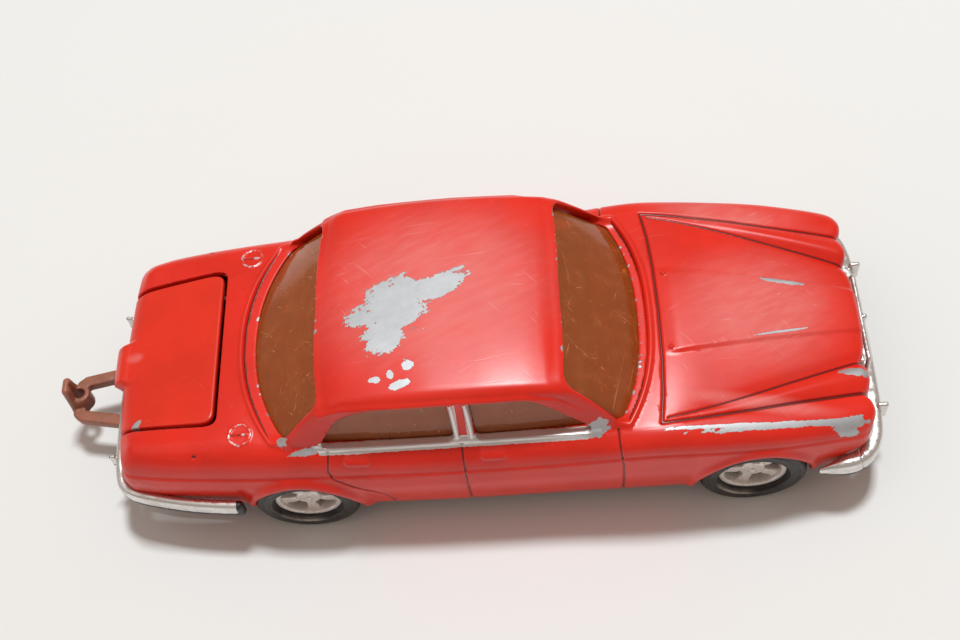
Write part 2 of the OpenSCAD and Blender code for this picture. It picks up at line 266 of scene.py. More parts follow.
def turned(solid, about, angle, ahead, side):
    """A copy of a surface turned about an axle line, moved ahead, and mirrored to the given side."""
    c, n = math.cos(math.radians(angle)), math.sin(math.radians(angle))
    turn = np.array(((c, 0, n), (0, 1, 0), (-n, 0, c))) @ np.diag((1.0, side, 1.0))
    points = (solid["points"] - about) @ turn.T + about + np.array((ahead, 0, 0))
    faces = solid["faces"] if side > 0 else [f[::-1] for f in solid["faces"]]
    return {**solid, "points": points, "faces": faces, "normals": solid["normals"] @ turn.T}


def make_piece(name, solid, material, body, replaced=()):
    data = bpy.data.meshes.new(name)
    place = solid["points"] * MM + np.array((REAR.x, 0, 0))
    data.from_pydata(place, [], solid["faces"])
    data.update()
    data.shade_smooth()
    data.normals_split_custom_set_from_vertices(solid["normals"])
    for key, values in solid["marks"].items():
        layer = data.attributes.new(key, "FLOAT", "POINT").data
        layer.foreach_set("value", np.asarray(values, dtype=np.float32))
    data.materials.append(material)
    piece = bpy.data.objects.new(name, data)
    bpy.context.scene.collection.objects.link(piece)
    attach(piece, body)
    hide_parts(*replaced)


def finish_node(name, material):
    """A CAD node keeps its mesh and takes this material."""
    data = frame["nodes"][name].data
    data.materials.clear()
    data.materials.append(material)


# ---------------------------------------------------------------- material kit


class Shader:
    """A material's node tree, with short calls for the nodes used here. Places are in millimetres."""

    def __init__(self, name):
        self.material = bpy.data.materials.new(name)
        self.material.use_nodes = True
        self.nodes = self.material.node_tree.nodes
        self.links = self.material.node_tree.links
        self.surface = self.nodes["Principled BSDF"]
        self.place = self.vector("SCALE", self.new("ShaderNodeTexCoord").outputs["Object"], scale=1 / MM)

    def new(self, kind, **settings):
        node = self.nodes.new(kind)
        for key, value in settings.items():
            setattr(node, key, value)
        return node

    def put(self, socket, value):
        if isinstance(value, bpy.types.NodeSocket):
            self.links.new(value, socket)
        elif isinstance(value, (tuple, list)) and len(value) == 3 and socket.type == "RGBA":
            socket.default_value = (*value, 1)
        else:
            socket.default_value = value

    def vector(self, operation, a, scale=None):
        node = self.new("ShaderNodeVectorMath", operation=operation)
        self.put(node.inputs[0], a)
        if scale is not None:
            node.inputs["Scale"].default_value = scale
        return node.outputs["Value" if operation == "LENGTH" else "Vector"]

    def math(self, operation, a, b=0.0, clamp=False):
        node = self.new("ShaderNodeMath", operation=operation, use_clamp=clamp)
        self.put(node.inputs[0], a)
        self.put(node.inputs[1], b)
        return node.outputs[0]

    def noise(self, size, detail=3.0, rough=0.55, stretch=None, turn=None, shift=None):
        """Noise whose features are about size mm across, between 0 and 1."""
        place = self.place
        if turn or stretch or shift:
            place = self.mapped(shift or (0, 0, 0), turn or (0, 0, 0), stretch or (1, 1, 1))
        node = self.new("ShaderNodeTexNoise")
        self.put(node.inputs["Vector"], place)
        node.inputs["Scale"].default_value = 1 / size
        node.inputs["Detail"].default_value = detail
        node.inputs["Roughness"].default_value = rough
        return node.outputs["Fac"]

    def mapped(self, shift, turn, stretch):
        """The place moved by -shift, turned back by turn degrees and divided by stretch."""
        node = self.new("ShaderNodeMapping", vector_type="TEXTURE")
        self.put(node.inputs["Vector"], self.place)
        node.inputs["Location"].default_value = shift
        node.inputs["Rotation"].default_value = [math.radians(v) for v in turn]
        node.inputs["Scale"].default_value = stretch
        return node.outputs["Vector"]

    def step(self, value, low, high, to_low=0.0, to_high=1.0):
        node = self.new("ShaderNodeMapRange", interpolation_type="SMOOTHSTEP")
        self.put(node.inputs["Value"], value)
        for key, number in (("From Min", low), ("From Max", high), ("To Min", to_low), ("To Max", to_high)):
            node.inputs[key].default_value = number
        return node.outputs["Result"]

    def mix(self, factor, a, b):
        node = self.new("ShaderNodeMix", data_type="RGBA")
        self.put(node.inputs["Factor"], factor)
        self.put(node.inputs[6], a)
        self.put(node.inputs[7], b)
        return node.outputs[2]

    def mark(self, key):
        return self.new("ShaderNodeAttribute", attribute_name=key).outputs["Fac"]

    def axis(self, name):
        node = self.new("ShaderNodeSeparateXYZ")
        self.put(node.inputs[0], self.place)
        return node.outputs[name]

    def blob(self, at, radii, turn=0.0):
        """1 in the middle of an ellipsoid, 0 on it and negative outside it."""
        place = self.mapped(at, (0, 0, turn), radii)
        return self.math("SUBTRACT", 1.0, self.vector("LENGTH", place))

    def bump(self, height, depth):
        node = self.new("ShaderNodeBump")
        node.inputs["Strength"].default_value = 1.0
        node.inputs["Distance"].default_value = depth * MM
        self.put(node.inputs["Height"], height)
        return node.outputs["Normal"]

    def finish(self, **sockets):
        for key, value in sockets.items():
            self.put(self.surface.inputs[key.replace("_", " ")], value)
        return self.material


def biggest(shader, values):
    total = values[0]
    for value in values[1:]:
        total = shader.math("MAXIMUM", total, value)
    return total


def on_body(x, y, z):
    """A place on the car, from its distance ahead of the rear axle, in the object's own millimetres."""
    return (x + REAR_X, y, z)


RED = (0.80, 0.022, 0.008)
BOOT_RED = (0.80, 0.030, 0.010)
# Pinkish red for rubbed enamel, lightened as a painted sheen
SHEEN_AND_RUBBED_RED = (0.80, 0.17, 0.15)
SCRATCHED_RED = (0.85, 0.36, 0.33)
# Dark red painted into grooves and creases as painted shade
GROOVE_SHADE = (0.09, 0.012, 0.01)
SILVER = (0.76, 0.74, 0.73)
BARE_DARK = (0.42, 0.43, 0.44)
BARE_LIGHT = (0.58, 0.59, 0.60)
BLACK_PLASTIC = (0.018, 0.018, 0.020)
DUST = (0.5, 0.46, 0.4)


def paint(name, colour, chips, sheen_and_rub_patches, wear_level):
    """Worn enamel over a bare casting: chips, rubbed edges, scratches, painted shade in the grooves and
    rubbed areas lightened with a painted sheen.
    """
    s = Shader(name)
    cloud = s.noise(7, 4)
    fine = s.noise(0.4, 5, 0.65)
    streak = s.noise(0.8, 4, 0.6, stretch=(5, 1, 1), turn=(0, 0, 24))
    angles = (28, -48, 5)
    lines = [s.noise(0.35, 2, 0.5, stretch=(30, 1, 1), turn=(0, 0, a), shift=(a, 0, 0)) for a in angles]
    scratch = biggest(s, [s.step(line, 0.68, 0.74) for line in lines])
    upper = s.step(s.axis("Z"), 11.0, 13.0)
    # Rubbed areas lightened to pink: partly real rubbing, partly a painted sheen where the roof, bonnet and
    # wings catch the light
    sheen_and_rub_blobs = [s.step(s.blob(on_body(*at), radii, turn), 0.0, 0.8) for at, radii, turn in sheen_and_rub_patches]
    sheen_and_rub_area = s.math("MULTIPLY", biggest(s, sheen_and_rub_blobs), s.step(cloud, 0.2, 0.5, 0.5, 1.0))
    sheen_and_rub = s.math("MULTIPLY", sheen_and_rub_area, s.step(streak, 0.3, 0.75, 0.65, 1.0))
    red = s.mix(s.step(cloud, 0.35, 0.65), colour, [c * 0.88 for c in colour])
    red = s.mix(s.math("MULTIPLY", sheen_and_rub, 0.9), red, SHEEN_AND_RUBBED_RED)
    # Scratches show strongly only on upper surfaces inside the painted sheen, so they are partly painted
    # highlight
    seen = s.math("MULTIPLY", upper, s.step(sheen_and_rub_area, 0, 1, 0.04, 0.3))
    red = s.mix(s.math("MULTIPLY", scratch, seen), red, SCRATCHED_RED)
    # Painted shade: grooves and creases darkened towards a dark red
    red = s.mix(s.step(s.mark("hollow_shade_and_dust"), 0.25, 0.9, 0.0, 0.85), red, GROOVE_SHADE)
    ragged = s.math("ADD", s.math("MULTIPLY", s.math("SUBTRACT", fine, 0.5), 1.1),
                    s.math("MULTIPLY", s.math("SUBTRACT", streak, 0.5), 1.5))
    bare = []
    for at, radii, turn in chips:
        chip = s.math("ADD", s.blob(on_body(*at), radii, turn), ragged)
        bare.append(s.step(chip, 0.0, 0.03))
    worn = s.math("ADD", s.math("MULTIPLY", s.mark("wear"), wear_level), s.math("MULTIPLY", ragged, 0.8))
    bare.append(s.step(worn, 0.7, 0.8))
    metal = biggest(s, bare)
    base = s.mix(metal, red, s.mix(s.noise(1.2, 4), BARE_DARK, BARE_LIGHT))
    broken = s.math("MULTIPLY", s.math("SUBTRACT", fine, 0.5), 0.9)
    silver = s.step(s.math("ADD", s.mark("silver"), broken), 0.45, 0.6)
    base = s.mix(silver, base, SILVER)
    height = s.math("ADD", s.math("MULTIPLY", metal, -1.0), s.math("MULTIPLY", scratch, -0.1))
    height = s.math("ADD", height, s.math("MULTIPLY", s.noise(0.9, 3), 0.1))
    shine = s.math("ADD", s.step(sheen_and_rub, 0.0, 1.0, 0.3, 0.48), s.math("MULTIPLY", metal, 0.15))
    plate = s.math("ADD", s.math("MULTIPLY", metal, 0.6), s.math("MULTIPLY", silver, 0.6), clamp=True)
    return s.finish(Base_Color=base, Metallic=plate, Roughness=shine, Normal=s.bump(height, 0.03),
                    Specular_IOR_Level=0.45)


def moulded(name, colour, rough):
    """Moulded plastic with a fine grain, uneven gloss and a little dust."""
    s = Shader(name)
    grime = s.noise(2.5, 4)
    base = s.mix(s.step(grime, 0.35, 0.7), colour, [c * 0.75 for c in colour])
    base = s.mix(s.math("MULTIPLY", s.step(s.noise(0.6, 5), 0.5, 0.75), 0.12), base, DUST)
    return s.finish(Base_Color=base, Roughness=s.step(grime, 0.3, 0.7, rough, rough + 0.15),
                    Normal=s.bump(s.noise(0.3, 4), 0.02))


def plated(name, black_level, low_edge, black_ahead=100.0):
    """Vacuum plating over black plastic, worn through at its edges and past black_ahead, and black below
    low_edge, so the bar is darker towards its underside.
    """
    s = Shader(name)
    fine = s.noise(0.5, 5, 0.65)
    worn = s.math("ADD", s.math("MULTIPLY", s.mark("wear"), 0.55), s.math("MULTIPLY", s.noise(1.6, 4), 0.55))
    # Black below low_edge: the bar is drawn darker towards its underside
    worn = s.math("ADD", worn, s.step(s.axis("Z"), low_edge[1], low_edge[0], 0.0, 0.9))
    ahead = black_ahead + REAR_X
    worn = s.math("ADD", worn, s.step(s.axis("X"), ahead, ahead + 0.6, 0.0, 1.2))
    gone = s.step(s.math("ADD", worn, s.math("MULTIPLY", fine, 0.3)), black_level, black_level + 0.12)
    dull = s.step(s.noise(1.1, 4), 0.3, 0.65)
    silver = s.mix(dull, (0.80, 0.79, 0.77), (0.72, 0.69, 0.66))
    base = s.mix(gone, silver, BLACK_PLASTIC)
    return s.finish(Base_Color=base, Metallic=s.step(gone, 0.0, 1.0, 0.85, 0.0),
                    Roughness=s.math("ADD", s.step(dull, 0, 1, 0.14, 0.38), s.math("MULTIPLY", gone, 0.1)),
                    Normal=s.bump(fine, 0.015))


def amber(name):
    """Clear amber plastic, scratched and dusty."""
    s = Shader(name)
    angles = (20, 75, -40, -80)
    lines = [s.noise(0.3, 2, 0.5, stretch=(30, 1, 3), turn=(0, 0, a), shift=(0, a, 0)) for a in angles]
    scratch = biggest(s, [s.step(line, 0.68, 0.78) for line in lines])
    dust = s.math("MULTIPLY", s.step(s.noise(1.4, 5), 0.4, 0.8), 0.12)
    veil = s.math("ADD", s.math("MULTIPLY", scratch, 0.35), dust)
    clear = s.math("SUBTRACT", 1.0, veil, clamp=True)
    tint = s.mix(veil, (0.80, 0.21, 0.04), (0.72, 0.40, 0.22))
    return s.finish(Base_Color=tint, Transmission_Weight=s.math("MULTIPLY", clear, 0.72), IOR=1.49,
                    Roughness=s.step(veil, 0.0, 0.6, 0.08, 0.4), Normal=s.bump(scratch, 0.02))


def wheel_metal(name):
    """Dull plating on the spokes and rim; the windows between the spokes, well below the hub face, are
    painted dark brown as painted shade.
    """
    s = Shader(name)
    grime = s.noise(0.9, 4)
    deep = s.mark("deep")
    silver = s.mix(s.step(grime, 0.35, 0.7), (0.90, 0.84, 0.80), (0.74, 0.66, 0.61))
    base = s.mix(deep, silver, (0.10, 0.06, 0.045))
    return s.finish(Base_Color=base, Metallic=s.step(deep, 0, 1, 0.3, 0.1),
                    Roughness=s.step(grime, 0.3, 0.7, 0.22, 0.42), Normal=s.bump(s.noise(0.4, 4), 0.01))


def tyre_rubber(name):
    """Hard black tyre, dusty in its tread, with a plated ring on the sidewall kept only as an arc near the
    wheel's foot, partly the last of its plating and partly a painted highlight.
    """
    s = Shader(name)
    fine = s.noise(0.5, 4)
    black = s.mix(s.step(s.noise(1.5, 4), 0.35, 0.7), (0.012, 0.010, 0.009), (0.026, 0.021, 0.018))
    black = s.mix(s.step(s.mark("hollow_shade_and_dust"), 0.02, 0.3, 0.0, 0.5), black, (0.06, 0.045, 0.035))
    ring = s.math("MULTIPLY", s.mark("ring"), s.step(s.noise(1.4, 4), 0.35, 0.6, 0.4, 1.0))
    base = s.mix(s.math("MULTIPLY", ring, 0.8), black, (0.50, 0.45, 0.40))
    return s.finish(Base_Color=base, Metallic=s.math("MULTIPLY", ring, 0.7),
                    Roughness=s.step(fine, 0.3, 0.7, 0.3, 0.5), Normal=s.bump(fine, 0.01))


def wire(name):
    """Drawn steel wire, a little tarnished."""
    s = Shader(name)
    tarnish = s.noise(1.0, 4)
    base = s.mix(s.step(tarnish, 0.4, 0.7), (0.55, 0.55, 0.56), (0.30, 0.27, 0.24))
    return s.finish(Base_Color=base, Metallic=0.9, Roughness=s.step(tarnish, 0.3, 0.7, 0.25, 0.45))


# Each chip and each rubbed area with painted sheen: its middle, its radii and its turn about z in degrees
ROOF_CHIPS = [
    ((10.7, -1.2, 20.9), (3.3, 2.7, 3), 8), ((14.2, 0.4, 20.9), (3.4, 1.3, 3), 20),
    ((9.7, -4.0, 20.6), (1.9, 2.2, 3), -10), ((7.6, -2.2, 20.7), (2.0, 0.8, 3), 10),
    ((11.4, 1.0, 20.9), (0.9, 1.1, 3), 0), ((8.9, -8.7, 20.2), (0.55, 0.32, 2), 0),
    ((11.2, -9.3, 20.1), (1.0, 0.5, 2), 12), ((10.3, -8.3, 20.3), (0.3, 0.5, 2), 20),
    ((11.9, -7.5, 20.4), (0.55, 0.7, 2), 30),
]
NOSE_CHIPS = [
    ((46.5, -12.0, 12.9), (9.5, 0.32, 3), 4), ((39.5, -12.15, 13.4), (5.5, 0.2, 3), 2),
    ((51.2, -12.4, 11.8), (1.3, 0.3, 2), 0), ((51.6, -11.7, 12.0), (1.6, 0.5, 2), 10),
    ((52.7, -6.9, 12.1), (1.5, 0.55, 2), -8), ((47.1, 2.9, 13.8), (2.4, 0.25, 2), -10),
    ((46.6, -2.7, 13.8), (2.8, 0.13, 2), 9),
]
PILLAR_CHIPS = [
    ((28.6, -11.6, 14.1), (1.5, 0.9, 1.3), 30), ((-0.5, -11.1, 14.3), (0.8, 0.5, 1.0), 20),
    ((1.7, -12.0, 13.8), (1.9, 0.35, 0.8), 5),
]
BODY_SHEEN_AND_RUB = [
    ((14, 0.5, 20.5), (15, 13, 7), 8), ((43, 11.6, 13.4), (11, 2.4, 3), -6),
    ((44.5, 0, 13.8), (11, 9, 5), 0), ((44, -10, 13.2), (9, 1.2, 4), -8),
]
LID_CHIPS = [((-15.4, -7.6, 12.6), (0.6, 0.35, 2), 60)]
LID_SHEEN_AND_RUB = [((-16.5, 0.3, 12.4), (1.2, 0.8, 2), 0)]
BODY_PAINT = paint("red_enamel", RED, ROOF_CHIPS + NOSE_CHIPS + PILLAR_CHIPS, BODY_SHEEN_AND_RUB, wear_level=0.5)
LID_PAINT = paint("boot_enamel", BOOT_RED, LID_CHIPS, LID_SHEEN_AND_RUB, wear_level=0.62)
# ---------------------------------------------------------------- the car's form
BELT_Z = 13.9
CABIN_RISE = 6.1
FLANK_WIDEST_Z = 9.3
SILL_TUCK = 1.3
CREASE_STEP = 0.16
CREASE_HALF = 0.18
BONNET_STEP = 0.2


def lower_form(s, lip=0.0):
    """Wings, bonnet, doors and tail, without the cabin, as a solid with no bottom. The boot lid has a lip."""
    x, y, z = s.x, s.y, s.z
    # Flank: the shoulder's edge, a crease below it, a lean outwards down to the widest height, then a tuck
    edge_y = curve(x, [(-18.5, 10.8), (-17, 11.3), (-12.5, 12.1), (-4, 12.8), (3, 13.25), (7.5, 13.5),
                       (15, 13.7), (23, 13.75), (34, 13.95), (38, 13.9), (41.6, 13.72), (45.4, 13.45),
                       (49, 13.0), (52.5, 12.4), (54.5, 11.6)])
    edge_z = curve(x, [(-18.3, 11.7), (-12.5, 12.5), (-4, 12.7), (7.5, 12.6), (15, 12.45), (25, 12.45),
                       (34, 13.4), (38, 13.1), (45.4, 12.45), (49, 11.96), (54, 11.1)])
    crease_z = curve(x, [(-18, 10.3), (-12.5, 10.65), (-4, 10.75), (7.5, 11.2), (23, 11.35), (34, 12.1),
                         (38, 11.85), (41.6, 11.45), (49, 10.8), (54, 10.2)])
    low = np.maximum(FLANK_WIDEST_Z - z, 0)
    crease = CREASE_STEP * blend_step(z, crease_z + CREASE_HALF, crease_z - CREASE_HALF)
    tuck = SILL_TUCK * (low / 6.0) ** 2.0 - crease
    lean = curve(x, [(-18, 0.14), (20, 0.12), (34, 0.04), (55, 0.04)])
    flank = y - edge_y + tuck - lean * np.clip(edge_z - z, -3, edge_z - FLANK_WIDEST_Z)
    # Top between the two wing crests: its height on the centre line and on the crests
    crest_y = curve(x, [(-18.5, 9.7), (-16.6, 9.8), (-10, 10.2), (-4, 10.7), (5, 11.6), (25, 11.8),
                        (34.3, 11.66), (40, 10.95), (46.1, 9.95), (53.3, 8.8), (55, 8.5)])
    crest_z = curve(x, [(-18.5, 12.6), (-16.6, 12.95), (-12, 13.6), (-6, 14.0), (0, 13.95), (6, 13.75),
                        (26, 13.8), (34.3, 14.25), (40, 13.75), (46, 12.98), (50, 12.35), (53.4, 11.75),
                        (55, 11.3)])
    middle_z = curve(x, [(-19, 11.0), (-17.8, 11.7), (-16.6, 12.2), (-12, 13.25), (-7.2, 14.1), (-4, 14.3),
                         (33, 14.6), (36, 14.75), (42, 14.3), (48, 13.45), (52, 12.7), (54.3, 12.05),
                         (56, 11.4)])
    power = curve(x, [(-19, 4), (0, 3), (30, 2), (55, 2)])
    across = np.clip(y / crest_y, 0, 1)
    inner = middle_z + (crest_z - middle_z) * across ** power
    # Bonnet: the raised middle, the vee beside it and the swelling behind each inner lamp
    front = blend_step(x, 35, 37)
    bulge_y = 4.75 - 2.5 * (x - 35) / 19.2
    inner += BONNET_STEP * front * blend_step(y, bulge_y + 0.22, bulge_y - 0.22)
    vee_y = curve(x, [(34, 11.5), (40, 9.9), (46, 7.95), (53.5, 5.42), (55, 4.9)])
    vee = curve(x, [(35, 0), (40, 0.1), (46, 0.26), (54, 0.42)])
    inner -= vee * np.exp(-((y - vee_y) / 0.7) ** 2)
    lamp = curve(x, [(37, 0), (44, 0.2), (50, 0.42), (54, 0.55)])
    inner += lamp * np.sin(math.pi * np.clip((y - vee_y) / np.maximum(crest_y - vee_y, 0.1), 0, 1))
    inner += 0.5 * lip * blend_step(y, 2.8, 1.8) * blend_step(x, -16.8, -18.0)
    # Top outside the crests, out to the shoulder's edge
    out = np.maximum(y - crest_y, 0)
    swell = curve(x, [(30, 0), (40, 0.12), (50, 0.3), (54, 0.4)])
    run = out / np.maximum(edge_y - crest_y, 0.5)
    outer = crest_z - (crest_z - edge_z) * (0.3 * run + 0.7 * run ** 2)
    outer += swell * np.sin(math.pi * np.clip(run, 0, 1))
    top = (z - np.where(y < crest_y, inner, outer).astype(np.float32)) * np.float32(0.97)
    round_off = curve(x, [(-19, 1.5), (-5, 1.0), (5, 0.75), (28, 0.75), (36, 0.9), (54, 1.0)])
    form = np.maximum(flank, top) + np.maximum(round_off - np.abs(flank - top), 0) ** 2 * (0.25 / round_off)
    # Nose with its lamp bays, and the tail
    nose = curve(y, [(0, 54.3), (3, 54.2), (4.6, 53.9), (5.4, 53.6), (6.2, 53.95), (7.05, 54.1), (8, 53.95),
                     (8.75, 53.6), (9.5, 54.0), (10.4, 54.15), (11.4, 53.95), (12.6, 53.4), (14, 52.4)])
    plain = 53.75 - 0.012 * y ** 2
    nose = plain + (nose - plain) * blend_step(z, 7.0, 8.6)
    form = smooth_max(form, (x - nose).astype(np.float32), 0.8)
    tail = curve(z, [(4, -17.6), (6, -18.1), (8.5, -18.2), (10, -18.0), (11.4, -17.7), (12.3, -17.1),
                     (13.4, -16.5)])
    tail = tail + 0.006 * y ** 2 - lip * blend_step(y, 2.6, 1.9) * blend_step(z, 10.0, 10.9)
    return smooth_max(form, (tail - x).astype(np.float32), 1.1)


def cabin_rise(z):
    """How far up the cabin a height is: 0 at the belt line, 1 near the roof."""
    return np.clip((z - BELT_Z) / CABIN_RISE, 0, 1.1)


def screen_face(y, z):
    """Where the windscreen lies along the car. It leans back, and its sides sweep back most at its foot."""
    return 33.7 - 1.35 * (z - BELT_Z) - 2.55 * (y / 11.3) ** 2.6 * (1 - 0.87 * cabin_rise(z))


def rear_face(y, z):
    """Where the rear window lies along the car. It leans forward, and its sides sweep forward."""
    return -4.4 + 1.47 * (z - 14.1) + 3.1 * (y / 10.6) ** 2.2 * (1 - 0.8 * cabin_rise(z))


def cabin_form(s):
    """Roof, pillars and the slopes of the windscreen and rear window, as a solid with no bottom."""
    x, y, z = s.x, s.y, s.z
    side = curve(z, [(11, 12.4), (BELT_Z, 11.85), (16, 11.4), (18.6, 11.05), (20, 11.1), (22, 11.0)])
    form = (y - side + 0.35 * ((x - 15) / 14) ** 2) * np.float32(0.96)
    roof = curve(x, [(-3, 18.6), (2, 19.75), (5, 20.3), (9, 20.75), (14, 21.0), (18, 20.97), (22, 20.78),
                     (25, 20.42), (30, 19.6)])
    form = smooth_max(form, (z - roof + 0.36 * (y / 10) ** 2.6).astype(np.float32), 1.1)
    form = smooth_max(form, ((x - screen_face(y, z)) * 0.65).astype(np.float32), 0.6)
    return smooth_max(form, ((rear_face(y, z) - x) * 0.62).astype(np.float32), 0.6)


# Glass outlines as y and z, seen from the front or behind.
# GLASS_STRETCH makes a height into a length up the sloping glass.
GLASS_STRETCH = 1.6
SCREEN_GLASS = [(-20, 13.95), (11.4, 13.95), (9.95, 19.7), (-20, 20.1)]
REAR_GLASS = [(-20, 13.9), (11.2, 14.1), (9.9, 18.9), (-20, 19.75)]


def sloping_outline(s, corners):
    """Signed distance to a windscreen or rear window outline, measured along the glass."""
    return convex(s.y, s.z * GLASS_STRETCH, [(y, z * GLASS_STRETCH) for y, z in corners], 1.3)


def screen_outline(s):
    """Signed distance to the windscreen opening."""
    foot = s.x - screen_face(s.y, 13.9) - 0.15
    outline = np.maximum(sloping_outline(s, SCREEN_GLASS), 22.5 - s.x)
    return np.maximum(outline, foot).astype(np.float32)


def rear_outline(s):
    """Signed distance to the rear window opening."""
    foot = rear_face(s.y, 14.0) - 0.45 - s.x
    outline = np.maximum(sloping_outline(s, REAR_GLASS), s.x - 7)
    return np.maximum(outline, foot).astype(np.float32)


REAR_DOOR_GLASS = [(2.7, 13.95), (15.3, 13.95), (15.05, 19.2), (8.6, 19.1), (5.0, 17.7)]
FRONT_DOOR_GLASS = [(17.3, 13.95), (28.3, 13.95), (25.2, 16.9), (22.4, 18.8), (17.0, 19.2)]


def side_outline(s):
    """Signed distance to the two side window openings, seen from the side."""
    rear = convex(s.x, s.z, REAR_DOOR_GLASS, 0.7)
    front = convex(s.x, s.z, FRONT_DOOR_GLASS, 0.7)
    return np.maximum(np.minimum(rear, front), (CABIN_Y - s.y).astype(np.float32))


def raised(solid, form, distance, r, k=0.12):
    """A round bead of radius r laid on the form along a path."""
    return smooth_min(solid, np.sqrt(distance ** 2 + form ** 2) - r, k)


def engraved(solid, form, distance, r):
    """A round groove of radius r cut into the form along a path."""
    return smooth_max(solid, r - np.sqrt(distance ** 2 + form ** 2), 0.06)


# Plan lines are x and y, and door lines are x and z
LID_FRONT = -7.6
REAR_LIP = [(-3.2, -3), (-3.2, 2), (-3.1, 4.1), (-2.75, 6.6), (-1.95, 9.0), (-1.0, 10.6), (-0.2, 11.6)]
BONNET_EDGE = [(34.3, 11.66), (37.2, 11.35), (40, 10.95), (43, 10.5), (46.1, 9.95), (50, 9.32), (54.6, 8.55)]
BONNET_REAR = [(34.3, 11.66), (34.7, 8.75), (34.95, 5.0), (35.05, 0)]
BONNET_VEE = [(34.9, 11.2), (37.3, 10.65), (40, 9.9), (43, 8.98), (46, 7.95), (50, 6.6), (54.6, 5.05)]
DOOR_LINES = [
    [(3.5, 13.6), (3.2, 11.8), (3.5, 10.9), (5.2, 9.6), (6.9, 8.6), (7.8, 7.7), (8.4, 6.3), (8.6, 3.0)],
    [(15.95, 13.7), (16.05, 9), (16.0, 3.0)],
    [(30.35, 13.9), (30.65, 11), (30.6, 3.0)],
]
DOOR_POSTS = [[(15.6, 14), (15.4, 19.2)], [(16.95, 14), (16.7, 19.2)]]
GUTTER = [(3.4, 18.3), (5.6, 19.3), (9, 19.6), (16, 19.7), (22, 19.5), (24.6, 18.7), (27.4, 16.4)]
# Fine detail on top lies above DECK_Z, on the flanks outside FLANK_Y and on the cabin's sides outside CABIN_Y
DECK_Z = 10
FLANK_Y = 10
CABIN_Y = 8
# Each wheel arch: its place along the car, the height of its middle, its radius and its flare
ARCHES = ((0.1, 4.5, 5.25, 0.4), (WHEELBASE, 4.75, 5.55, 0.18))
# Each lamp and the bay that it sits in: y, z and radius
LAMP_BAYS = ((7.05, 9.75, 1.4), (10.5, 9.5, 1.5))
LAMPS = ((7.05, 9.75, 1.3), (10.7, 9.5, 1.4))
HANDLES_X = (5.3, 18.0)
HANDLE_Z = 13.05
HANDLE_LENGTH = 1.6
FILLER_X = -4.85
FILLER_Y = 9.95
FILLER_R = 1.03
SILL_Y = 11.95
POST_X = 35.8
LID_GAP = 0.36
WALL = 0.8
CABIN_WALL = 0.46


def boot_plan(s, grow):
    """Signed distance to the boot opening's plan, grown all round."""
    corners = [(LID_FRONT + grow, -9), (LID_FRONT + grow, 8.6 + grow), (-16.6, 8.05 + grow),
               (-40, 5.5 + grow), (-40, -9)]
    return convex(s.x, s.y, corners, 1.4)


def nearest(a, b, paths):
    """Distance from (a, b) to the nearest of several paths."""
    return union(*[path_distance(a, b, path) for path in paths])


def with_windows(s, solid, form):
    """Beads round the glass, the line behind the cabin, sill strips, posts and gutters, then the openings."""
    x, y, z = s.x, s.y, s.z
    screen, rear, side = screen_outline(s), rear_outline(s), side_outline(s)
    solid = raised(solid, form, screen - 0.3, 0.24, 0.25)
    solid = raised(solid, form, rear - 0.3, 0.2, 0.2)
    solid = raised(solid, form, np.maximum(path_distance(x, y, REAR_LIP), 12 - z), 0.22, 0.3)
    sill_bead = np.maximum(np.hypot(y - SILL_Y, z - 13.95), np.maximum(2.4 - x, x - 28.6))
    solid = raised(solid, form, sill_bead, 0.3, 0.3)
    solid = raised(solid, form, np.maximum(nearest(x, z, DOOR_POSTS), CABIN_Y - y), 0.24)
    solid = raised(solid, form, np.maximum(path_distance(x, z, GUTTER), CABIN_Y - y), 0.26, 0.25)
    for opening, k in ((screen, 0.1), (rear, 0.1), (side, 0.08)):
        solid = smooth_max(solid, -opening, k)
    return solid


def with_arches(s, solid, form, sill):
    """Flared wheel arches and the wells behind them."""
    x, y, z = s.x, s.y, s.z
    for wheel_x, arch_z, arch_r, arch_flare in ARCHES:
        arch = np.hypot(x - wheel_x, z - arch_z).astype(np.float32)
        arch_band = common(np.abs(arch - arch_r - 0.35), FLANK_Y - y, sill + 0.7 - z)
        solid = raised(solid, form, arch_band, arch_flare, 0.8)
        solid = smooth_max(solid, arch_r - arch, 0.12)
        well = smooth_max(np.hypot(x - wheel_x, z - AXLE_Z).astype(np.float32) - 5.55, y - 12.9, 0.1)
        solid = smooth_max(solid, -well, 0.1)
    return solid


